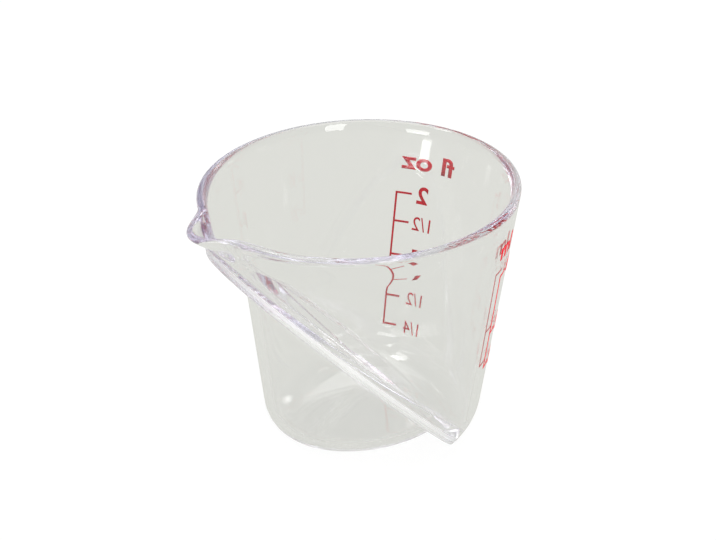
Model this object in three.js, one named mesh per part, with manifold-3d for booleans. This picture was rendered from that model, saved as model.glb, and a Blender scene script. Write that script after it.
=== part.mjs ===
// A small clear measuring cup, moulded in one piece, with a slanted ledge that is read from above.
// Millimetres, +Z up. The cup stands on z = 0, its spout points to -X and its closed back to +X.
import * as THREE from 'three';
import { mergeVertices } from 'three/addons/utils/BufferGeometryUtils.js';
import Module from 'manifold-3d';

const wasm = await Module();
wasm.setup();

// Walls
const CUP_HEIGHT = 54;
const WALL = 2;
const FLOOR = 2;
const LEDGE = 2.5;

// Bowl: an oval that opens upwards, given outside at the rim and where its walls would meet the base
const RIM_HALF_LENGTH = 32.4;
const RIM_HALF_WIDTH = 30.5;
const FOOT_HALF_LENGTH = 23.6;
const FOOT_HALF_WIDTH = 26;
const FOOT_SHIFT = -1.5;
const FOOT_ROUNDING = 8.4;
const INNER_FOOT_ROUNDING = 5;

// Rim: fully rounded outside, with a longer soft rounding inside
const RIM_ROUNDING = 0.9;
const RIM_FLAT = 0.15;
const LIP_DEPTH = 3;

// Spout: the front of the rim drawn out to a narrow lip, which also dips a little below the rest of the rim
const SPOUT_REACH = 4.6;
const SPOUT_HALF_ANGLE = 17;
const SPOUT_DEPTH = 6.5;
const SPOUT_LIP = 0.9;
const SPOUT_DIP = 1.3;
const DIP_HALF_ANGLE = 28;

// Ledge: a flat plate across the bowl, falling from the spout to the base at the back
const LEDGE_FOOT = 12.1;
const LEDGE_SLOPE = 45.2;

// Well: the narrower oval below the ledge, given by how far it stands in from the bowl at the base
const WELL_INSET_FRONT = 5.4;
const WELL_INSET_SIDE = 9.5;
const WELL_INSET_BACK = 1.2;
const WELL_DRAFT_END = 5.7;
const WELL_DRAFT_SIDE = 11.9;
const WELL_ROUNDING = 7.2;

// Facets
const ARC_STEPS = 7;
const WALL_STEPS = 5;
const SPOUT_STEPS = 7;
const LIP_STEPS = 4;
const COARSE_BEARING = 5;
const FINE_BEARING = 2.5;

const rad = THREE.MathUtils.degToRad;
const lerp = THREE.MathUtils.lerp;
const clamp = THREE.MathUtils.clamp;

// Bearings around the cup in degrees, 0 at the back and 180 at the spout, closer together at the spout
function bearings() {
  const fineFrom = 180 - COARSE_BEARING * Math.ceil(DIP_HALF_ANGLE / COARSE_BEARING);
  const list = [];
  for (let b = 0; b < fineFrom; b += COARSE_BEARING) list.push(b);
  for (let b = fineFrom; b < 180; b += FINE_BEARING) list.push(b);
  const otherSide = list.slice(1).reverse().map((b) => 360 - b);
  return [...list, 180, ...otherSide].map(rad);
}
const BEARINGS = bearings();

// Degrees away from the middle of the spout
function fromFront(bearing) {
  return THREE.MathUtils.radToDeg(bearing) - 180;
}

// An oval has its centre on the X axis, a half-length along X and a half-width along Y
function inset(oval, distance) {
  return { centre: oval.centre, length: oval.length - distance, width: oval.width - distance };
}

// Outside of the bowl at height z, before any rounding
function bowlOval(z) {
  const up = z / CUP_HEIGHT;
  return {
    centre: lerp(FOOT_SHIFT, 0, up),
    length: lerp(FOOT_HALF_LENGTH, RIM_HALF_LENGTH, up),
    width: lerp(FOOT_HALF_WIDTH, RIM_HALF_WIDTH, up),
  };
}

// Outside of the well at height z, before any rounding
function wellOval(z) {
  const foot = bowlOval(0);
  const front = foot.centre - foot.length + WELL_INSET_FRONT;
  const back = foot.centre + foot.length - WELL_INSET_BACK;
  return {
    centre: (front + back) / 2,
    length: (back - front) / 2 + z * Math.tan(rad(WELL_DRAFT_END)),
    width: foot.width - WELL_INSET_SIDE + z * Math.tan(rad(WELL_DRAFT_SIDE)),
  };
}

// A smooth swell, 1 at the middle and 0 from one half-span out
function swell(off, halfSpan) {
  return (1 + Math.cos(Math.PI * clamp(off / halfSpan, -1, 1))) / 2;
}

// How far the spout stands out of the oval at this bearing and height
function spoutReach(bearing, z) {
  const below = Math.max(CUP_HEIGHT - SPOUT_LIP - z, 0);
  return SPOUT_REACH * swell(fromFront(bearing), SPOUT_HALF_ANGLE) * swell(below, SPOUT_DEPTH - SPOUT_LIP);
}

// How far the rim has dipped here, growing from the spout's foot up to the rim
function spoutDip(bearing, z) {
  const up = clamp((z - CUP_HEIGHT + SPOUT_DEPTH) / SPOUT_DEPTH, 0, 1);
  return SPOUT_DIP * swell(fromFront(bearing), DIP_HALF_ANGLE) * up;
}

function plainRing(oval, z) {
  const point = (b) => new THREE.Vector3(oval.centre + oval.length * Math.cos(b), oval.width * Math.sin(b), z);
  return BEARINGS.map(point);
}

function spoutedRing(oval, z) {
  const ring = plainRing(oval, z);
  ring.forEach((p, k) => {
    const b = BEARINGS[k];
    const out = spoutReach(b, z);
    p.add(new THREE.Vector3(out * Math.cos(b), out * Math.sin(b), -spoutDip(b, z)));
  });
  return ring;
}

// Heights and insets of a quarter round of this radius, from a flat at z = base up to the wall
function footArc(radius, base) {
  const levels = [];
  for (let i = 0; i <= ARC_STEPS; i += 1) {
    const turn = (Math.PI / 2) * (i / ARC_STEPS);
    levels.push({ z: base + radius * (1 - Math.cos(turn)), inset: radius * (1 - Math.sin(turn)) });
  }
  return levels;
}

// A closed solid through a stack of rings, with a flat cap at each end
function loft(rings) {
  const count = BEARINGS.length;
  const centre = (ring) => ring.reduce((sum, p) => sum.add(p), new THREE.Vector3()).divideScalar(count);
  const points = rings.flat();
  const bottom = points.push(centre(rings[0])) - 1;
  const top = points.push(centre(rings[rings.length - 1])) - 1;
  const faces = [];
  for (let k = 0; k < count; k += 1) {
    const next = (k + 1) % count;
    for (let r = 0; r + 1 < rings.length; r += 1) {
      const a = r * count + k;
      const b = r * count + next;
      faces.push(a, b, b + count, a, b + count, a + count);
    }
    const last = (rings.length - 1) * count;
    faces.push(bottom, next, k);
    faces.push(top, last + k, last + next);
  }
  const geometry = new THREE.BufferGeometry().setFromPoints(points);
  geometry.setIndex(faces);
  return geometry;
}

function toSolid(geometry) {
  const bare = geometry.clone();
  bare.deleteAttribute('normal');
  bare.deleteAttribute('uv');
  const merged = mergeVertices(bare, 1e-5);
  return new wasm.Manifold(new wasm.Mesh({
    numProp: 3,
    vertProperties: new Float32Array(merged.attributes.position.array),
    triVerts: new Uint32Array(merged.index.array),
  }));
}

function toGeometry(solid) {
  const mesh = solid.getMesh();
  const geometry = new THREE.BufferGeometry();
  geometry.setAttribute('position', new THREE.BufferAttribute(new Float32Array(mesh.vertProperties), 3));
  geometry.setIndex(new THREE.BufferAttribute(new Uint32Array(mesh.triVerts), 1));
  geometry.computeVertexNormals();
  return geometry;
}

// Heights between the foot rounding and the start of the rim rounding, closer together at the spout
function wallHeights(from, to) {
  const spoutFoot = CUP_HEIGHT - SPOUT_DEPTH;
  const heights = [];
  for (let i = 1; i < WALL_STEPS; i += 1) heights.push(lerp(from, spoutFoot, i / WALL_STEPS));
  for (let i = 0; i < SPOUT_STEPS; i += 1) heights.push(lerp(spoutFoot, to, i / SPOUT_STEPS));
  return heights;
}

// Outside of the bowl: foot rounding, wall with the spout, rounded rim
function bowlOutside() {
  const rings = footArc(FOOT_ROUNDING, 0).map((l) => plainRing(inset(bowlOval(l.z), l.inset), l.z));
  const rimFrom = CUP_HEIGHT - RIM_ROUNDING;
  wallHeights(FOOT_ROUNDING, rimFrom).forEach((z) => rings.push(spoutedRing(bowlOval(z), z)));
  for (let i = 0; i <= LIP_STEPS; i += 1) {
    const turn = (Math.PI / 2) * (i / LIP_STEPS);
    const z = rimFrom + RIM_ROUNDING * Math.sin(turn);
    rings.push(spoutedRing(inset(bowlOval(z), RIM_ROUNDING * (1 - Math.cos(turn))), z));
  }
  return toSolid(loft(rings));
}

// Inside of the bowl, carried on above the rim so that it cuts the mouth open
function bowlInside() {
  const arc = footArc(INNER_FOOT_ROUNDING, FLOOR);
  const rings = arc.map((l) => plainRing(inset(bowlOval(l.z), WALL + l.inset), l.z));
  const lipFrom = CUP_HEIGHT - LIP_DEPTH;
  const walls = wallHeights(FLOOR + INNER_FOOT_ROUNDING, lipFrom);
  walls.forEach((z) => rings.push(spoutedRing(inset(bowlOval(z), WALL), z)));
  const lipInset = RIM_ROUNDING + RIM_FLAT;
  for (let i = 0; i <= LIP_STEPS; i += 1) {
    const turn = (Math.PI / 2) * (i / LIP_STEPS);
    const z = lipFrom + LIP_DEPTH * Math.sin(turn);
    const depth = lipInset + (WALL - lipInset) * Math.cos(turn);
    rings.push(spoutedRing(inset(bowlOval(z), depth), z));
  }
  const above = rings[rings.length - 1].map((p) => p.clone().setZ(CUP_HEIGHT + WALL));
  rings.push(above);
  return toSolid(loft(rings));
}

// Height at which the top of the ledge crosses the front end of the well
function wellTop() {
  const foot = wellOval(0);
  const slope = Math.tan(rad(LEDGE_SLOPE));
  const lean = Math.tan(rad(WELL_DRAFT_END));
  const run = LEDGE_FOOT - foot.centre + foot.length;
  return (run * slope + LEDGE / Math.cos(rad(LEDGE_SLOPE))) / (1 - lean * slope);
}

// The well, outside with stand = 0 and inside with stand = WALL and the floor's height
function well(stand, base) {
  const arc = footArc(WELL_ROUNDING - stand, base);
  const rings = arc.map((l) => plainRing(inset(wellOval(l.z), stand + l.inset), l.z));
  const start = base + WELL_ROUNDING - stand;
  const top = wellTop() + WALL;
  for (let i = 1; i <= WALL_STEPS; i += 1) {
    const z = lerp(start, top, i / WALL_STEPS);
    rings.push(plainRing(inset(wellOval(z), stand), z));
  }
  return toSolid(loft(rings));
}

// Everything on the upper side of the ledge's underside, or of its top with lift = LEDGE
function aboveLedge(lift) {
  const size = 4 * (CUP_HEIGHT + RIM_HALF_LENGTH);
  const block = new THREE.BoxGeometry(size, size, size);
  block.translate(0, 0, size / 2 + lift);
  block.rotateY(rad(LEDGE_SLOPE));
  block.translate(LEDGE_FOOT, 0, 0);
  return toSolid(block);
}

// The moulding: bowl and well joined by the ledge, then hollowed by the cavity
function cupBody() {
  const outside = bowlOutside().intersect(aboveLedge(0)).add(well(0, 0));
  const cavity = bowlInside().intersect(aboveLedge(LEDGE)).add(well(WALL, FLOOR));
  return toGeometry(outside.subtract(cavity));
}

const clearPlastic = new THREE.MeshStandardMaterial({
  name: 'clear_plastic',
  color: 0xe9ebee,
  roughness: 0.06,
  metalness: 0,
  transparent: true,
  opacity: 0.35,
});

const cup = new THREE.Group();
const body = new THREE.Mesh(cupBody(), clearPlastic);
body.name = 'cup_body';
cup.add(body);

export default cup;
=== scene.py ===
import math
import bmesh
import bpy
import numpy as np
from mathutils import Matrix, Vector


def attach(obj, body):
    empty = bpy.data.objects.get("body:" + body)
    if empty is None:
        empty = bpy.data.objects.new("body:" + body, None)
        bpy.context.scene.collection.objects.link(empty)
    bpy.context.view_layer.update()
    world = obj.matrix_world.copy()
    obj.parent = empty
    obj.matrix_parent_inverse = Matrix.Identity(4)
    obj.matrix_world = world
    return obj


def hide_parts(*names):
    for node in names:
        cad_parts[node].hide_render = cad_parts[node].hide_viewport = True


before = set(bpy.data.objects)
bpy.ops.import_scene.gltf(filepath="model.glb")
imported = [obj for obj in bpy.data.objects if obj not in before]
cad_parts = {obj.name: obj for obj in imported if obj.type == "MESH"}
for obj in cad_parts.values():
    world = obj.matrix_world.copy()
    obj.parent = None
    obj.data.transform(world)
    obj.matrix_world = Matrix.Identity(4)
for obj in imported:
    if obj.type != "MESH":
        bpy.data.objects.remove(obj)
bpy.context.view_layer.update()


# The cup is one injection moulding in clear, hard plastic with a faint violet-grey tint in its depth: a bowl that
# opens upwards, a flat ledge across it, and a narrower well below the ledge. This part skins the bowl, the ledge
# and the well up to just under the spout, in upright planes that all stand on the well's middle axis.

MM = 0.001
CUP_HEIGHT = 54.0
WALL = 2.0
FLOOR = 2.0
LEDGE = 3.2
RIM_HALF_LENGTH = 32.4
RIM_HALF_WIDTH = 30.5
FOOT_HALF_LENGTH = 23.6
FOOT_HALF_WIDTH = 26.0
FOOT_SHIFT = -1.5
OUTER_FOOT_ROUNDING = 8.4
INNER_FOOT_ROUNDING = 5.0
LEDGE_FOOT = 12.1
LEDGE_SLOPE = math.radians(45.2)
WELL_CENTRE = 0.6
WELL_HALF_LENGTH = 20.3
WELL_HALF_WIDTH = 16.5
WELL_DRAFT_END = math.radians(5.7)
WELL_DRAFT_SIDE = math.radians(11.9)
WELL_ROUNDING = 7.2
INNER_FILLETS = (0.2, 0.5)
OUTER_FILLETS = (0.8, 0.35)
SKIN_TOP = 47.2
COLUMNS = 300
SPOUT_CROWDING = 0.5
FLOOR_RINGS = (0.35, 0.75)
WELL_ROWS, LEDGE_ROWS, BOWL_ROWS = 23, 8, 51
BOWL_ROWS_CROWDING = 1.6
FILLET_STEPS = 5
FILLET_SHARE = 0.4
FURTHEST_ALONG, HALVINGS = 8.0, 40
WELD = 0.01

turn = 2 * np.pi * np.arange(COLUMNS) / COLUMNS
bearing = turn + SPOUT_CROWDING * np.sin(turn)
forward, sideways = np.cos(bearing), np.sin(bearing)


def bowl_oval(height):
    up = height / CUP_HEIGHT
    centre = FOOT_SHIFT * (1 - up)
    length = FOOT_HALF_LENGTH + (RIM_HALF_LENGTH - FOOT_HALF_LENGTH) * up
    width = FOOT_HALF_WIDTH + (RIM_HALF_WIDTH - FOOT_HALF_WIDTH) * up
    return centre, length, width


def well_oval(height):
    length = WELL_HALF_LENGTH + height * math.tan(WELL_DRAFT_END)
    width = WELL_HALF_WIDTH + height * math.tan(WELL_DRAFT_SIDE)
    return WELL_CENTRE, length, width


def reach_to(oval, inset):
    """Distance from the well's axis out to an oval, in each column's direction."""
    centre, length, width = oval
    length, width = length - inset, width - inset
    off = WELL_CENTRE - centre
    a = (forward / length) ** 2 + (sideways / width) ** 2
    b = off * forward / length**2
    c = (off / length) ** 2 - 1
    return (np.sqrt(b * b - a * c) - b) / a


def foot_and_wall(oval_at, stand, base, rounding, along):
    """Reach and height along a rounded foot, 0 to 1, and then up the wall that stands on it."""
    bend = np.clip(along, 0, 1) * np.pi / 2
    height = base + rounding * (1 - np.cos(bend)) + rounding * np.pi / 2 * np.maximum(along - 1, 0)
    return np.array([reach_to(oval_at(height), stand + rounding * (1 - np.sin(bend))), height])


def meeting_with(ledge_height, skin):
    """How far along a skin it comes up through the ledge's face, or 0 where it is above it from the start."""
    low, high = np.zeros(COLUMNS), np.full(COLUMNS, FURTHEST_ALONG)
    for _ in range(HALVINGS):
        middle = (low + high) / 2
        reach, height = skin(middle)
        under = height < ledge_height(reach)
        low, high = np.where(under, middle, low), np.where(under, high, middle)
    return np.where(low < 1e-6, 0, low)


def filleted(before, corner, after, steps):
    """Rows of a small rounding that replaces a corner."""
    shares = np.linspace(0, 1, steps + 1)[:, None, None]
    return (1 - shares) ** 2 * before + 2 * shares * (1 - shares) * corner + shares**2 * after


def skin_rows(stand, base, bowl_rounding, lift, fillets):
    """Rows of (reach, height) from the middle of the floor, over the ledge, up to the foot of the spout."""
    well_rounding = WELL_ROUNDING - stand
    slope = math.tan(LEDGE_SLOPE)

    def ledge_height(reach):
        return (LEDGE_FOOT - WELL_CENTRE - reach * forward) * slope + lift

    def well(along):
        return foot_and_wall(well_oval, stand, base, well_rounding, along)

    def bowl(along):
        return foot_and_wall(bowl_oval, stand, base, bowl_rounding, along)

    crease_x = LEDGE_FOOT - WELL_CENTRE + (lift - base) / slope
    crease = np.where(forward > 1e-3, crease_x / np.maximum(forward, 1e-3), 1e6)
    well_step, bowl_step = well_rounding * np.pi / 2, bowl_rounding * np.pi / 2
    well_meet, bowl_meet = meeting_with(ledge_height, well), meeting_with(ledge_height, bowl)
    flat_back = bowl_meet == 0

    def well_part(along):
        reach, height = well(along)
        return np.array([np.where(well_meet == 0, np.minimum(reach, crease), reach), height])

    edge = well_part(well_meet)
    corner = bowl(bowl_meet)
    corner[0] = np.where(flat_back, np.minimum(crease, corner[0]), corner[0])
    flat = np.where(flat_back, bowl(np.zeros(COLUMNS))[0] - corner[0], 0)

    def bowl_part(distance):
        along = bowl_meet + np.maximum(distance - flat, 0) / bowl_step
        reach, height = bowl(along)
        return np.array([np.where(distance < flat, corner[0] + distance, reach), height])

    run = corner - edge
    length = np.hypot(*run)
    way = run / np.maximum(length, 1e-9)
    most = FILLET_SHARE * length
    edge_size = np.minimum(fillets[0], np.minimum(FILLET_SHARE * well_meet * well_step, most))
    crease_size = np.minimum(fillets[1], most)
    well_end = well_meet - edge_size / well_step
    ledge_from, ledge_to = edge + way * edge_size, corner - way * crease_size
    bowl_from = bowl_part(crease_size)
    top = flat + (1 + (SKIN_TOP - base - bowl_rounding) / bowl_step - bowl_meet) * bowl_step

    floor_end = well_part(np.zeros(COLUMNS))
    rows = [floor_end * np.array([[share], [1]]) for share in FLOOR_RINGS]
    rows += [well_part(well_end * share) for share in np.linspace(0, 1, WELL_ROWS)]
    rows += list(filleted(well_part(well_end), edge, ledge_from, FILLET_STEPS))[1:]
    rows += [ledge_from + (ledge_to - ledge_from) * share for share in np.linspace(0, 1, LEDGE_ROWS)[1:]]
    rows += list(filleted(ledge_to, corner, bowl_from, FILLET_STEPS))[1:]
    up_the_wall = np.linspace(0, 1, BOWL_ROWS)[1:] ** BOWL_ROWS_CROWDING
    rows += [bowl_part(crease_size + (top - crease_size) * share) for share in up_the_wall]
    return np.array(rows)


def skin(bm, rows):
    """A closed floor and walls through the rows, in millimetres, open at the top."""
    rings = []
    for reach, height in rows:
        points = zip(WELL_CENTRE + reach * forward, reach * sideways, height)
        rings.append([bm.verts.new(point) for point in points])
    middle = bm.verts.new((WELL_CENTRE, 0, rows[0][1].mean()))
    for k in range(COLUMNS):
        n = (k + 1) % COLUMNS
        bm.faces.new((middle, rings[0][k], rings[0][n]))
        for low, high in zip(rings, rings[1:]):
            bm.faces.new((low[k], high[k], high[n], low[n]))


bm = bmesh.new()
skin(bm, skin_rows(WALL, FLOOR, INNER_FOOT_ROUNDING, LEDGE / math.cos(LEDGE_SLOPE), INNER_FILLETS))
skin(bm, skin_rows(0, 0, OUTER_FOOT_ROUNDING, 0, OUTER_FILLETS))
bmesh.ops.remove_doubles(bm, verts=bm.verts, dist=WELD)
cup_mesh = bpy.data.meshes.new("cup")
bm.to_mesh(cup_mesh)
bm.free()
cup = bpy.data.objects.new("cup", cup_mesh)
bpy.context.scene.collection.objects.link(cup)


# The top of the same moulding: the bowl's wall goes on up to a fully rounded rim with a soft inner lip, a little
# fuller on the near side, and its front is drawn out and dips into the pouring spout. A tree of nodes lofts it from
# the same ovals and joins it to the skins below.


class Field:
    """A number that a tree's nodes work out at each point of a mesh."""

    def __init__(self, tree, socket):
        self.tree = tree
        self.socket = socket

    def step(self, operation, *others):
        node = self.tree.nodes.new("ShaderNodeMath")
        node.operation = operation
        for place, value in zip(node.inputs, (self, *others)):
            if isinstance(value, Field):
                self.tree.links.new(value.socket, place)
            else:
                place.default_value = value
        return Field(self.tree, node.outputs[0])

    def __add__(self, other):
        return self.step("ADD", other)

    def __sub__(self, other):
        return self.step("SUBTRACT", other)

    def __mul__(self, other):
        return self.step("MULTIPLY", other)

    def __truediv__(self, other):
        return self.step("DIVIDE", other)

    def less_from(self, other):
        return self.step("MULTIPLY", -1.0).step("ADD", other)

    def sin(self):
        return self.step("SINE")

    def cos(self):
        return self.step("COSINE")

    def root(self):
        return self.step("SQRT")

    def between(self, low, high):
        return self.step("MAXIMUM", low).step("MINIMUM", high)


def new_tree(name, sizes):
    """A geometry tree with one named input for each size, and those inputs as fields."""
    tree = bpy.data.node_groups.new(name, "GeometryNodeTree")
    tree.interface.new_socket("Mesh", in_out="INPUT", socket_type="NodeSocketGeometry")
    for label in sizes:
        tree.interface.new_socket(label, in_out="INPUT", socket_type="NodeSocketFloat")
    tree.interface.new_socket("Mesh", in_out="OUTPUT", socket_type="NodeSocketGeometry")
    start = tree.nodes.new("NodeGroupInput")
    return tree, start.outputs[0], {label: Field(tree, start.outputs[label]) for label in sizes}


def add_node(tree, kind, links=(), **settings):
    """A node with its settings, fed by links of (input, socket or field or plain value)."""
    node = tree.nodes.new(kind)
    for name, value in settings.items():
        setattr(node, name, value)
    for place, value in links:
        if isinstance(value, Field):
            value = value.socket
        if isinstance(value, bpy.types.NodeSocket):
            tree.links.new(value, node.inputs[place])
        else:
            node.inputs[place].default_value = value
    return node


def run_tree(piece, tree, sizes):
    """Gives the piece the tree's result as its plain mesh."""
    modifier = piece.modifiers.new(tree.name, "NODES")
    modifier.node_group = tree
    for item in tree.interface.items_tree:
        if item.in_out == "INPUT" and item.name in sizes:
            modifier[item.identifier] = float(sizes[item.name])
    evaluated = piece.evaluated_get(bpy.context.evaluated_depsgraph_get())
    result = bpy.data.meshes.new_from_object(evaluated)
    piece.modifiers.clear()
    piece.data = result
    result.name = piece.name


RIM_ROUNDING = 0.9
RIM_FLAT = 0.15
LIP_DEPTH = 3.0
NEAR_LIP_RISE = 0.8
NEAR_BEAD = 0.42
WALL_ROWS, LIP_ROWS, ROUNDING_ROWS = 16, 18, 14

rim_sizes = {
    "Cup height": CUP_HEIGHT,
    "Join height": SKIN_TOP,
    "Wall": WALL,
    "Rim half length": RIM_HALF_LENGTH,
    "Rim half width": RIM_HALF_WIDTH,
    "Foot half length": FOOT_HALF_LENGTH,
    "Foot half width": FOOT_HALF_WIDTH,
    "Foot shift": FOOT_SHIFT,
    "Middle axis": WELL_CENTRE,
    "Rim rounding": RIM_ROUNDING,
    "Rim flat": RIM_FLAT,
    "Lip depth": LIP_DEPTH,
    "Near lip rise": NEAR_LIP_RISE,
    "Near bead": NEAR_BEAD,
    "Near bearing": math.radians(265),
    "Near half span": math.radians(85),
    "Spout reach": 4.6,
    "Spout half angle": math.radians(17),
    "Spout depth": 6.5,
    "Spout lip": 0.9,
    "Spout dip": 1.3,
    "Dip half angle": math.radians(28),
    "Crowding": SPOUT_CROWDING,
}

# The ledge's satin edge, which also carries a painted white glow in place of light led along the ledge:
SATIN_ROUGHNESS = 0.35
PAINTED_GLOW_CLEARNESS = 0.45
SATIN_AND_GLOW_FOOT, SATIN_AND_GLOW_TOP = 0.02, 1.9
SATIN_AND_GLOW_LEAST, SATIN_AND_GLOW_CLIMB, SATIN_AND_GLOW_FADE = 0.3, 2.0, 0.3
OUTSIDE_SHARE = 0.955


def clear_plastic():
    """Hard clear plastic: polished, with faint flow lines, a tint in its depth, and on the ledge's edge satin with a
    painted white glow.
    """
    material = bpy.data.materials.new("clear_plastic")
    material.use_nodes = True
    tree = material.node_tree
    shader = tree.nodes["Principled BSDF"]
    shader.inputs["Transmission Weight"].default_value = 1.0
    shader.inputs["IOR"].default_value = 1.57
    place = tree.nodes.new("ShaderNodeTexCoord").outputs["Object"]

    handling = add_node(tree, "ShaderNodeTexNoise", [("Vector", place), ("Scale", 160.0), ("Detail", 3.0)])
    haze = add_node(
        tree,
        "ShaderNodeMapRange",
        [
            ("Value", handling.outputs["Fac"]),
            ("From Min", 0.4),
            ("From Max", 0.75),
            ("To Min", 0.012),
            ("To Max", 0.05),
        ],
    )
    # Satin and painted glow on the ledge's outer edge: where the mask is on, it is rough, and seen from the inside it
    # stays clear.
    edge = add_node(tree, "ShaderNodeAttribute", attribute_name="satin_and_glow_edge")
    inside = tree.nodes.new("ShaderNodeNewGeometry").outputs["Backfacing"]
    satin_and_glow = add_node(
        tree, "ShaderNodeMath", [(0, edge.outputs["Fac"]), (1, inside)], operation="SUBTRACT", use_clamp=True
    )
    finish = add_node(
        tree,
        "ShaderNodeMath",
        [(0, satin_and_glow.outputs[0]), (1, SATIN_ROUGHNESS), (2, haze.outputs["Result"])],
        operation="MULTIPLY_ADD",
    )
    tree.links.new(finish.outputs[0], shader.inputs["Roughness"])
    # Painted glow: less light goes through on the satin edge, so the plastic's pale base colour shows there as a
    # white strip that stands in for light led along the ledge.
    clear = add_node(
        tree,
        "ShaderNodeMapRange",
        [("Value", satin_and_glow.outputs[0]), ("To Min", 1.0), ("To Max", PAINTED_GLOW_CLEARNESS)],
    )
    tree.links.new(clear.outputs["Result"], shader.inputs["Transmission Weight"])

    cloud = add_node(tree, "ShaderNodeTexNoise", [("Vector", place), ("Scale", 45.0), ("Detail", 2.0)])
    tint = add_node(tree, "ShaderNodeValToRGB", [("Fac", cloud.outputs["Fac"])])
    tint.color_ramp.elements[0].color = (0.975, 0.976, 0.978, 1)
    tint.color_ramp.elements[1].color = (0.995, 0.995, 0.993, 1)
    tree.links.new(tint.outputs["Color"], shader.inputs["Base Color"])

    flow = add_node(tree, "ShaderNodeTexNoise", [("Vector", place), ("Scale", 70.0), ("Detail", 1.0)])
    ripple = add_node(
        tree, "ShaderNodeBump", [("Height", flow.outputs["Fac"]), ("Strength", 0.02), ("Distance", 0.001)]
    )
    tree.links.new(ripple.outputs["Normal"], shader.inputs["Normal"])

    depth = add_node(tree, "ShaderNodeVolumeAbsorption")
    depth.inputs["Color"].default_value = (0.72, 0.695, 0.82, 1)
    depth.inputs["Density"].default_value = 8.0
    tree.links.new(depth.outputs["Volume"], tree.nodes["Material Output"].inputs["Volume"])
    return material


plastic = clear_plastic()
tree, below, size = new_tree("spouted_rim", rim_sizes)
corner = add_node(tree, "GeometryNodeInputPosition").outputs[0]
split = add_node(tree, "ShaderNodeSeparateXYZ", [("Vector", corner)])
across = Field(tree, split.outputs["X"]) + 0.5
upwards = Field(tree, split.outputs["Y"]) + 0.5
circle = across * (2 * math.pi)
column_bearing = circle + circle.sin() * size["Crowding"]


def lofted_patch(rows, height, inset):
    """A strip right round the cup whose rows follow a height and an inset from the bowl's outside."""
    strip = add_node(
        tree,
        "GeometryNodeMeshGrid",
        [("Size X", 1.0), ("Size Y", 1.0), ("Vertices X", COLUMNS + 1), ("Vertices Y", rows)],
    ).outputs["Mesh"]
    for name, value in (("bearing", column_bearing), ("height", height), ("inset", inset)):
        kept = add_node(
            tree,
            "GeometryNodeStoreNamedAttribute",
            [("Geometry", strip), ("Name", name), ("Value", value)],
            data_type="FLOAT",
            domain="POINT",
        )
        strip = kept.outputs["Geometry"]
    return strip


def swell(off, half_span):
    """1 in the middle and 0 from one half span out."""
    return ((off / half_span).between(-1.0, 1.0) * math.pi).cos() * 0.5 + 0.5


near_side = swell(column_bearing - size["Near bearing"], size["Near half span"])
bead = size["Near bead"] * near_side
lip_depth = size["Lip depth"] - size["Near lip rise"] * near_side
lip_foot = size["Cup height"] - lip_depth
lip_inset = size["Rim rounding"] + size["Rim flat"]
rim_foot = size["Cup height"] - size["Rim rounding"]
quarter = upwards * (math.pi / 2)
patches = [
    lofted_patch(
        WALL_ROWS,
        size["Join height"] + (lip_foot - size["Join height"]) * upwards,
        size["Wall"] + bead * ((upwards * math.pi).cos() * -0.5 + 0.5),
    ),
    lofted_patch(
        LIP_ROWS,
        lip_foot + lip_depth * quarter.sin(),
        lip_inset + (size["Wall"] + bead - lip_inset) * quarter.cos(),
    ),
    lofted_patch(2, size["Cup height"] + upwards * 0.0, lip_inset - size["Rim flat"] * upwards),
    lofted_patch(
        ROUNDING_ROWS,
        rim_foot + size["Rim rounding"] * quarter.cos(),
        size["Rim rounding"] - size["Rim rounding"] * quarter.sin(),
    ),
    lofted_patch(WALL_ROWS, rim_foot + (size["Join height"] - rim_foot) * upwards, upwards * 0.0),
]
joined = add_node(tree, "GeometryNodeJoinGeometry")
for patch in patches:
    tree.links.new(patch, joined.inputs[0])


def stored(name):
    node = add_node(tree, "GeometryNodeInputNamedAttribute", [("Name", name)], data_type="FLOAT")
    return Field(tree, node.outputs["Attribute"])


height, inset, direction = stored("height"), stored("inset"), stored("bearing")
up = height / size["Cup height"]
centre = size["Foot shift"] * up.less_from(1.0)
length = size["Foot half length"] + (size["Rim half length"] - size["Foot half length"]) * up - inset
width = size["Foot half width"] + (size["Rim half width"] - size["Foot half width"]) * up - inset
along_x, along_y = direction.cos(), direction.sin()
off_axis = size["Middle axis"] - centre
a = (along_x / length) * (along_x / length) + (along_y / width) * (along_y / width)
b = off_axis * along_x / (length * length)
c = (off_axis / length) * (off_axis / length) - 1.0
reach = ((b * b - a * c).root() - b) / a
x, y = size["Middle axis"] + reach * along_x, reach * along_y
oval_angle = (y / width).step("ARCTAN2", (x - centre) / length)
from_spout = oval_angle.step("ABSOLUTE").less_from(math.pi)
under_rim = (rim_foot - height).step("MAXIMUM", 0.0)
drawn_out = (
    size["Spout reach"]
    * swell(from_spout, size["Spout half angle"])
    * swell(under_rim, size["Spout depth"] - size["Spout lip"])
)
spout_foot = size["Cup height"] - size["Spout depth"]
dipped = (
    size["Spout dip"]
    * swell(from_spout, size["Dip half angle"])
    * ((height - spout_foot) / size["Spout depth"]).between(0.0, 1.0)
)
spot = add_node(
    tree,
    "ShaderNodeCombineXYZ",
    [(0, x + drawn_out * oval_angle.cos()), (1, y + drawn_out * oval_angle.sin()), (2, height - dipped)],
)
lofted = add_node(
    tree, "GeometryNodeSetPosition", [("Geometry", joined.outputs[0]), ("Position", spot.outputs[0])]
)
whole = add_node(tree, "GeometryNodeJoinGeometry")
tree.links.new(below, whole.inputs[0])
tree.links.new(lofted.outputs[0], whole.inputs[0])
sealed = add_node(tree, "GeometryNodeMergeByDistance", [("Geometry", whole.outputs[0]), ("Distance", WELD)])
real_size = add_node(tree, "GeometryNodeTransform", [("Geometry", sealed.outputs[0]), ("Scale", (MM, MM, MM))])
smooth = add_node(tree, "GeometryNodeSetShadeSmooth", [("Geometry", real_size.outputs[0])])
realised = add_node(tree, "GeometryNodeRealizeInstances", [("Geometry", smooth.outputs[0])])
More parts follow.
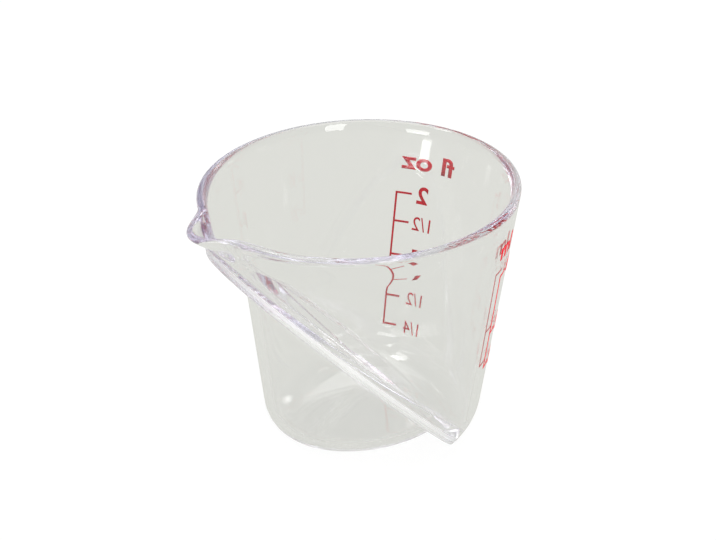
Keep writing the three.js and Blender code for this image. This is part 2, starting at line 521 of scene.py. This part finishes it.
finish = add_node(tree, "GeometryNodeSetMaterial", [("Geometry", realised.outputs[0]), ("Material", plastic)])
add_node(tree, "NodeGroupOutput", [(0, finish.outputs[0])])
run_tree(cup, tree, rim_sizes)

bm = bmesh.new()
bm.from_mesh(cup.data)
bmesh.ops.recalc_face_normals(bm, faces=bm.faces)
open_edges = sum(1 for e in bm.edges if not e.is_manifold)
print("cup: faces", len(bm.faces), "open edges", open_edges, "volume ml", bm.calc_volume() * 1e6)
bm.to_mesh(cup.data)
bm.free()
for name in ("bearing", "height", "inset"):
    cup.data.attributes.remove(cup.data.attributes[name])

# The ledge's outer edge has a satin finish with a painted white glow that stands in for light led along the ledge:
# none at its foot, stronger upwards, and gone above the edge.
spots = np.empty(3 * len(cup.data.vertices))
cup.data.vertices.foreach_get("co", spots)
x, y, z = spots.reshape(-1, 3).T / MM
above_underside = (x - LEDGE_FOOT) * math.sin(LEDGE_SLOPE) + z * math.cos(LEDGE_SLOPE)
centre, length, width = bowl_oval(z)
outside = np.hypot((x - centre) / length, y / width) > OUTSIDE_SHARE
climb = np.clip(SATIN_AND_GLOW_LEAST + above_underside / SATIN_AND_GLOW_CLIMB, 0, 1)
fade = np.clip((SATIN_AND_GLOW_TOP - above_underside) / SATIN_AND_GLOW_FADE, 0, 1)
satin_and_glow = np.where(above_underside < SATIN_AND_GLOW_FOOT, 0, outside * climb * fade)
cup.data.attributes.new("satin_and_glow_edge", "FLOAT", "POINT").data.foreach_set("value", satin_and_glow)
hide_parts("cup_body")
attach(cup, "root")


# The volume scales are opaque red ink, printed on the outside of the bowl after moulding: fluid ounces on the far
# side and millilitres on the near side. Each is drawn flat, in millimetres across and up. A tree of nodes sets its
# bars, gives the ink its thickness and wraps it round the bowl's oval.

INK_SUNK = 0.03
INK_LIFTED = 0.005
INK_THICKNESS = 0.08
INK_FACET = 0.5
LINE_WEIGHT = 0.42
TICK_LENGTH = 3.1
TICK_GAP = 0.01
UNIT_HEIGHT = 45.6
WRAP_RADIUS = 28.6
OUNCES_AT, MILLILITRES_AT = math.radians(46.6), math.radians(-49.0)
BOLD, REGULAR = 0.022, 0.0
MARK_HEIGHTS = {"2 oz": 38.4, "1 1/2 oz": 32.1, "1 oz": 24.7, "1/2 oz": 16.0, "1/4 oz": 9.5}

# The unit text above this height stands a hair clear of the wall, so that the rim doesn't lead its red round.
LIFTED_FROM = 41.6


def red_ink():
    """Opaque red ink, a little uneven in its coat."""
    material = bpy.data.materials.new("red_ink")
    material.use_nodes = True
    tree = material.node_tree
    shader = tree.nodes["Principled BSDF"]
    shader.inputs["Roughness"].default_value = 0.4
    shader.inputs["Specular IOR Level"].default_value = 0.15
    place = tree.nodes.new("ShaderNodeTexCoord").outputs["Object"]
    coat = add_node(tree, "ShaderNodeTexNoise", [("Vector", place), ("Scale", 900.0), ("Detail", 2.0)])
    colour = add_node(tree, "ShaderNodeValToRGB", [("Fac", coat.outputs["Fac"])])
    colour.color_ramp.elements[0].color = (1.0, 0.002, 0.022, 1)
    colour.color_ramp.elements[1].color = (1.0, 0.004, 0.036, 1)
    tree.links.new(colour.outputs["Color"], shader.inputs["Base Color"])
    return material


ink = red_ink()


def word(bm, text, left, right, middle, tall, thickening):
    """Flat letters that fill a box from left to right, as tall as given about its middle height."""
    curve = bpy.data.curves.new(text, "FONT")
    curve.body = text
    curve.offset = thickening
    curve.resolution_u = 4
    holder = bpy.data.objects.new(text, curve)
    flat = bpy.data.meshes.new_from_object(holder)
    spots = np.array([v.co[:2] for v in flat.vertices])
    low, high = spots.min(0), spots.max(0)
    spots = (spots - low) / (high - low) * (right - left, tall) + (left, middle - tall / 2)
    for vertex, spot in zip(flat.vertices, spots):
        vertex.co = (spot[0], spot[1], 0)
    bm.from_mesh(flat)
    bpy.data.objects.remove(holder)
    bpy.data.curves.remove(curve)
    bpy.data.meshes.remove(flat)


def drawing(name, words, bars):
    """A piece whose mesh holds flat words, cut into narrow strips so that they can bend, and a point for each bar."""
    bm = bmesh.new()
    for each in words:
        word(bm, *each)
    bmesh.ops.remove_doubles(bm, verts=bm.verts, dist=0.001)
    left, right = min(v.co.x for v in bm.verts), max(v.co.x for v in bm.verts)
    for cut in np.arange(left, right, INK_FACET)[1:]:
        everything = [*bm.verts, *bm.edges, *bm.faces]
        bmesh.ops.bisect_plane(bm, geom=everything, plane_co=(cut, 0, 0), plane_no=(1, 0, 0))
    for across, up in bars:
        bm.verts.new((across, up, 0))
    mesh = bpy.data.meshes.new(name)
    bm.to_mesh(mesh)
    bm.free()
    piece = bpy.data.objects.new(name, mesh)
    bpy.context.scene.collection.objects.link(piece)
    return piece


def raised_drawing(tree, flat, size):
    """The words, a bar at each point and one long line, as closed solids one unit thick, and their place's fields."""
    touching = add_node(tree, "GeometryNodeInputMeshVertexNeighbors").outputs["Vertex Count"]
    parts = add_node(tree, "GeometryNodeSeparateGeometry", [("Geometry", flat), ("Selection", touching)])
    bar = add_node(
        tree,
        "GeometryNodeMeshGrid",
        [("Size X", size["Tick length"]), ("Size Y", size["Line weight"]), ("Vertices X", 8), ("Vertices Y", 2)],
    )
    bars = add_node(
        tree,
        "GeometryNodeInstanceOnPoints",
        [("Points", parts.outputs["Inverted"]), ("Instance", bar.outputs["Mesh"])],
    )
    pieces = add_node(tree, "GeometryNodeJoinGeometry")
    tree.links.new(parts.outputs["Selection"], pieces.inputs[0])
    tree.links.new(bars.outputs[0], pieces.inputs[0])
    if "Line top" in size:
        span = size["Line top"] - size["Line foot"]
        line = add_node(
            tree,
            "GeometryNodeMeshGrid",
            [
                ("Size X", size["Line weight"]),
                ("Size Y", span + size["Line weight"]),
                ("Vertices X", 2),
                ("Vertices Y", 20),
            ],
        )
        middle = add_node(tree, "ShaderNodeCombineXYZ", [(1, (size["Line top"] + size["Line foot"]) * 0.5)])
        stood = add_node(
            tree,
            "GeometryNodeTransform",
            [("Geometry", line.outputs["Mesh"]), ("Translation", middle.outputs[0])],
        )
        tree.links.new(stood.outputs[0], pieces.inputs[0])
    flat_parts = add_node(tree, "GeometryNodeRealizeInstances", [("Geometry", pieces.outputs[0])]).outputs[0]
    outwards = add_node(tree, "ShaderNodeCombineXYZ", [(2, 1.0)])
    top = add_node(
        tree,
        "GeometryNodeExtrudeMesh",
        [("Mesh", flat_parts), ("Offset", outwards.outputs[0]), ("Offset Scale", 1.0), ("Individual", False)],
    )
    bottom = add_node(tree, "GeometryNodeFlipFaces", [("Mesh", flat_parts)])
    solid = add_node(tree, "GeometryNodeJoinGeometry")
    tree.links.new(top.outputs["Mesh"], solid.inputs[0])
    tree.links.new(bottom.outputs[0], solid.inputs[0])
    closed = add_node(tree, "GeometryNodeMergeByDistance", [("Geometry", solid.outputs[0]), ("Distance", 0.001)])
    spot = add_node(tree, "GeometryNodeInputPosition").outputs[0]
    split = add_node(tree, "ShaderNodeSeparateXYZ", [("Vector", spot)])
    return closed.outputs[0], [Field(tree, split.outputs[axis]) for axis in "XYZ"]


def placed(tree, solid, place, material):
    """Sets the solid drawing at its place, in metres, in its material."""
    spot = add_node(tree, "ShaderNodeCombineXYZ", [(k, place[k]) for k in range(3)])
    moved = add_node(tree, "GeometryNodeSetPosition", [("Geometry", solid), ("Position", spot.outputs[0])])
    real_size = add_node(tree, "GeometryNodeTransform", [("Geometry", moved.outputs[0]), ("Scale", (MM, MM, MM))])
    realised = add_node(tree, "GeometryNodeRealizeInstances", [("Geometry", real_size.outputs[0])])
    finish = add_node(tree, "GeometryNodeSetMaterial", [("Geometry", realised.outputs[0]), ("Material", material)])
    add_node(tree, "NodeGroupOutput", [(0, finish.outputs[0])])


def finished(piece):
    """Turns the piece's faces outward, prints its open edges, and lets it move with the cup."""
    bm = bmesh.new()
    bm.from_mesh(piece.data)
    bmesh.ops.recalc_face_normals(bm, faces=bm.faces)
    print(piece.name, "faces", len(bm.faces), "open edges", sum(1 for e in bm.edges if not e.is_manifold))
    bm.to_mesh(piece.data)
    bm.free()
    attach(piece, "root")


wall_sizes = {
    "Cup height": CUP_HEIGHT,
    "Rim half length": RIM_HALF_LENGTH,
    "Rim half width": RIM_HALF_WIDTH,
    "Foot half length": FOOT_HALF_LENGTH,
    "Foot half width": FOOT_HALF_WIDTH,
    "Foot shift": FOOT_SHIFT,
    "Wrap radius": WRAP_RADIUS,
    "Place round the bowl": 0.0,
    "Line top": MARK_HEIGHTS["2 oz"],
    "Line foot": MARK_HEIGHTS["1/4 oz"],
    "Line weight": LINE_WEIGHT,
    "Tick length": TICK_LENGTH,
    "Ink sunk": INK_SUNK,
    "Ink lifted": INK_LIFTED,
    "Lifted above": LIFTED_FROM,
    "Ink thickness": INK_THICKNESS,
}
wall_tree, flat, size = new_tree("scale_on_the_wall", wall_sizes)
solid, (across, height, layer) = raised_drawing(wall_tree, flat, size)
up = height / size["Cup height"]
lifted = height.step("GREATER_THAN", size["Lifted above"])
out = layer * size["Ink thickness"] - size["Ink sunk"] + (size["Ink sunk"] + size["Ink lifted"]) * lifted
length = size["Foot half length"] + (size["Rim half length"] - size["Foot half length"]) * up + out
width = size["Foot half width"] + (size["Rim half width"] - size["Foot half width"]) * up + out
angle = across / size["Wrap radius"] + size["Place round the bowl"]
x = size["Foot shift"] * up.less_from(1.0) + length * angle.cos()
placed(wall_tree, solid, (x, width * angle.sin(), height), ink)

tick_middle = LINE_WEIGHT / 2 + TICK_GAP + TICK_LENGTH / 2
ounces = drawing(
    "ounce_scale",
    [
        ("fl oz", -12.2, -0.4, UNIT_HEIGHT, 3.9, BOLD),
        ("2", -7.0, -4.5, MARK_HEIGHTS["2 oz"], 3.8, BOLD),
        ("1/2", -8.4, -4.2, MARK_HEIGHTS["1 1/2 oz"], 3.0, REGULAR),
        ("1", -6.2, -4.9, MARK_HEIGHTS["1 oz"], 3.4, BOLD),
        ("1/2", -9.3, -5.2, MARK_HEIGHTS["1/2 oz"], 2.8, REGULAR),
        ("1/4", -9.5, -5.3, MARK_HEIGHTS["1/4 oz"], 2.8, REGULAR),
    ],
    [(-tick_middle, mark) for mark in MARK_HEIGHTS.values()],
)
run_tree(ounces, wall_tree, {**wall_sizes, "Place round the bowl": OUNCES_AT})
finished(ounces)

millilitre_marks = {"60": 39.2, "30": 26.4, "20": 18.6}
millilitres = drawing(
    "millilitre_scale",
    [
        ("ml", -2.0, 3.8, UNIT_HEIGHT, 3.9, BOLD),
        *[(number, 4.4, 8.4, mark, 2.8, REGULAR) for number, mark in millilitre_marks.items()],
    ],
    [(tick_middle, mark) for mark in millilitre_marks.values()],
)
millilitre_sizes = {
    "Place round the bowl": MILLILITRES_AT,
    "Line top": millilitre_marks["60"],
    "Line foot": millilitre_marks["20"],
    "Lifted above": CUP_HEIGHT,
}
run_tree(millilitres, wall_tree, {**wall_sizes, **millilitre_sizes})
finished(millilitres)


# The marks that are read from above are moulded about a tenth of a millimetre high on top of the ledge, in the
# same clear plastic: fluid ounces along its far strip and tablespoons along its near strip, each where the
# liquid's surface meets the ledge.

LEDGE_TICK = 2.4
LEDGE_MARGIN = 0.7
LEDGE_LETTER = 2.5
LETTER_WIDTH = 0.5225
LABEL_GAP = 0.4
STRIP_LEAST = 6.0

ledge_sizes = {
    "Ledge foot": LEDGE_FOOT,
    "Ledge slope": LEDGE_SLOPE,
    "Ledge thickness": LEDGE,
    "Line weight": 0.26,
    "Tick length": LEDGE_TICK,
    "Mark clearance": 0.005,
    "Mark thickness": 0.12,
}
ledge_tree, flat, size = new_tree("scale_on_the_ledge", ledge_sizes)
solid, (across, along, layer) = raised_drawing(ledge_tree, flat, size)
lift = size["Ledge thickness"] + size["Mark clearance"] + layer * size["Mark thickness"]
cosine, sine = size["Ledge slope"].cos(), size["Ledge slope"].sin()
x = size["Ledge foot"] - along * cosine + lift * sine
placed(ledge_tree, solid, (x, across, along * sine + lift * cosine), plastic)


def strip_edge(height):
    """How far out the ledge's strip begins, beside the well, where the ledge's top is at this height."""
    x = LEDGE_FOOT - (height - LEDGE / math.cos(LEDGE_SLOPE)) / math.tan(LEDGE_SLOPE)
    centre, length, width = well_oval(height)
    off = (x - centre) / (length - WALL)
    return max((width - WALL) * math.sqrt(max(1 - off * off, 0)), STRIP_LEAST)


ledge_words, ledge_bars = [], []
ledge_labels = {
    "2 oz": ("2", "4"),
    "1 1/2 oz": ("1/2", "3"),
    "1 oz": ("1", "2"),
    "1/2 oz": ("1/2", "1"),
    "1/4 oz": ("1/4", ""),
}
for name, labels in ledge_labels.items():
    mark = MARK_HEIGHTS[name]
    along = (mark - LEDGE * math.cos(LEDGE_SLOPE)) / math.sin(LEDGE_SLOPE)
    begin = strip_edge(mark) + LEDGE_MARGIN
    for side, label in zip((1, -1), labels):
        if not label:
            continue
        wide = LETTER_WIDTH * LEDGE_LETTER * len(label)
        left = begin + LEDGE_TICK + LABEL_GAP
        box = (left, left + wide) if side == 1 else (-left - wide, -left)
        ledge_words.append((label, *box, along, LEDGE_LETTER, REGULAR))
        ledge_bars.append((side * (begin + LEDGE_TICK / 2), along))
ledge_scale = drawing("ledge_scale", ledge_words, ledge_bars)
run_tree(ledge_scale, ledge_tree, ledge_sizes)
finished(ledge_scale)


# The stage is not part of the cup: a plain pale floor, an even pale room, soft windows around the cup that stand in
# its rim and walls as highlights, and a wide fill lamp. The camera sees the floor and the room as white.

ROOM_LEVEL = 0.45
ROOM_THROUGH_PLASTIC = 0.68
FLOOR_COLOUR = (0.752, 0.752, 0.728, 1)
SHADOW_SHARE = 0.12
SEEN_THROUGH_PLASTIC = (0.64, 0.645, 0.605, 1)
EXTRA_FOR_CAMERA = (0.29, 0.285, 0.325, 1)
FLOOR_HALF = 3.0
FLOOR_DROP = 0.0003
WINDOW_AIM = 0.05
MOST_BOUNCES = 128


def pale_floor():
    """A diffuse floor. Where it is looked at, most of its tone is its own, and the rest keeps the cup's shadow."""
    material = bpy.data.materials.new("pale_floor")
    material.use_nodes = True
    tree = material.node_tree
    tree.nodes.remove(tree.nodes["Principled BSDF"])
    path = add_node(tree, "ShaderNodeLightPath")
    seen = path.outputs["Is Camera Ray"]
    for kind in ("Is Glossy Ray", "Is Transmission Ray"):
        seen = add_node(tree, "ShaderNodeMath", [(0, seen), (1, path.outputs[kind])], operation="MAXIMUM").outputs[0]
    paint = add_node(tree, "ShaderNodeBsdfDiffuse", [("Color", FLOOR_COLOUR)])
    plain = add_node(tree, "ShaderNodeEmission", [("Color", SEEN_THROUGH_PLASTIC)])
    share = add_node(tree, "ShaderNodeMath", [(0, seen), (1, 1 - SHADOW_SHARE)], operation="MULTIPLY")
    looked_at = add_node(tree, "ShaderNodeMixShader", [(0, share.outputs[0]), (1, paint.outputs[0])])
    own_tone = add_node(tree, "ShaderNodeAddShader", [(0, looked_at.outputs[0]), (1, plain.outputs[0])])
    tree.links.new(seen, plain.inputs["Strength"])
    extra = add_node(
        tree, "ShaderNodeEmission", [("Color", EXTRA_FOR_CAMERA), ("Strength", path.outputs["Is Camera Ray"])]
    )
    both = add_node(tree, "ShaderNodeAddShader", [(0, own_tone.outputs[0]), (1, extra.outputs[0])])
    tree.links.new(both.outputs[0], tree.nodes["Material Output"].inputs["Surface"])
    return material


floor_mesh = bpy.data.meshes.new("floor")
corners = [(-1, -1), (1, -1), (1, 1), (-1, 1)]
floor_mesh.from_pydata([(x * FLOOR_HALF, y * FLOOR_HALF, -FLOOR_DROP) for x, y in corners], [], [(0, 1, 2, 3)])
floor_mesh.materials.append(pale_floor())
floor = bpy.data.objects.new("floor", floor_mesh)
bpy.context.scene.collection.objects.link(floor)

world = bpy.data.worlds.new("room")
bpy.context.scene.world = world
world.use_nodes = True
room = world.node_tree
path = add_node(room, "ShaderNodeLightPath")
through = add_node(
    room,
    "ShaderNodeMapRange",
    [("Value", path.outputs["Is Transmission Ray"]), ("To Min", ROOM_LEVEL), ("To Max", ROOM_THROUGH_PLASTIC)],
)
level = add_node(
    room,
    "ShaderNodeMapRange",
    [("Value", path.outputs["Is Camera Ray"]), ("To Min", through.outputs["Result"]), ("To Max", 1.0)],
)
room.links.new(level.outputs["Result"], room.nodes["Background"].inputs["Strength"])
room.nodes["Background"].inputs["Color"].default_value = (1, 1, 1, 1)


def window(name, azimuth, elevation, distance, width, height, brightness):
    """A flat soft lamp that faces the cup, given by its bearing from +X and by how bright it looks."""
    lamp = bpy.data.lights.new(name, "AREA")
    lamp.shape = "RECTANGLE"
    lamp.size, lamp.size_y = width, height
    lamp.energy = brightness * math.pi * width * height
    a, e = math.radians(azimuth), math.radians(elevation)
    way = Vector((math.cos(a) * math.cos(e), math.sin(a) * math.cos(e), math.sin(e)))
    place = Matrix.Translation(Vector((0, 0, WINDOW_AIM)) + way * distance)
    holder = bpy.data.objects.new(name, lamp)
    holder.matrix_world = place @ way.to_track_quat("Z", "Y").to_matrix().to_4x4()
    holder.visible_camera = False
    bpy.context.scene.collection.objects.link(holder)
    return holder


window("overhead", 60, 88, 0.80, 1.10, 1.10, 1.4)
window("front_window", -95, 22, 0.70, 0.16, 0.45, 5.0)
window("left_window", -157, 11, 0.60, 0.20, 0.13, 5.0)
window("high_window", 170, 48, 0.80, 0.17, 0.15, 6.0)
window("left_window_foot", -167.4, -11.5, 0.1736, 0.022, 0.008, 5.0)
window("right_window", 8, 17, 0.70, 0.12, 0.20, 3.5)

# A wide lamp lights what scatters, the ink and the satin edge with its painted glow, and isn't mirrored in the
# polished walls.
fill = window("front_fill", -125, 35, 0.90, 0.80, 0.80, 1.0)
fill.visible_glossy = False
fill.visible_transmission = False

# Thick clear plastic leads light along its walls, so paths may bend and bounce inside it more often than usual.
bpy.context.scene.cycles.max_bounces = MOST_BOUNCES
bpy.context.scene.cycles.glossy_bounces = MOST_BOUNCES
bpy.context.scene.cycles.transmission_bounces = MOST_BOUNCES


# The camera stands where the photograph was taken from. Its place, turn and lens were fitted to the cup's outline
# at its real size.

CAMERA_TURN = math.radians(27.593)
CAMERA_DOWN = math.radians(28.961)
CAMERA_ROLL = math.radians(-0.626)
CAMERA_DISTANCE = 523.0
CAMERA_SENSOR = 36
PHOTO_WIDTH, FOCAL_PIXELS = 716, 2533.3
CAMERA_LENS = FOCAL_PIXELS / PHOTO_WIDTH * CAMERA_SENSOR
CAMERA_ACROSS, CAMERA_UP = -0.461, 30.72

right = Vector((math.cos(CAMERA_TURN), -math.sin(CAMERA_TURN), 0))
away = Vector((math.sin(CAMERA_TURN), math.cos(CAMERA_TURN), 0))
ahead = math.cos(CAMERA_DOWN) * away - math.sin(CAMERA_DOWN) * Vector((0, 0, 1))
above = right.cross(ahead)
stand = (-CAMERA_DISTANCE * ahead + CAMERA_ACROSS * right + CAMERA_UP * above) * MM
rolled_right = right * math.cos(CAMERA_ROLL) + above * math.sin(CAMERA_ROLL)
rolled_up = above * math.cos(CAMERA_ROLL) - right * math.sin(CAMERA_ROLL)
camera_data = bpy.data.cameras.new("camera")
camera_data.sensor_width = CAMERA_SENSOR
camera_data.lens = CAMERA_LENS
camera = bpy.data.objects.new("camera", camera_data)
facing = Matrix((rolled_right, rolled_up, -ahead)).transposed().to_4x4()
camera.matrix_world = Matrix.Translation(stand) @ facing
bpy.context.scene.collection.objects.link(camera)
bpy.context.scene.camera = camera
bpy.context.scene.view_settings.view_transform = "Standard"
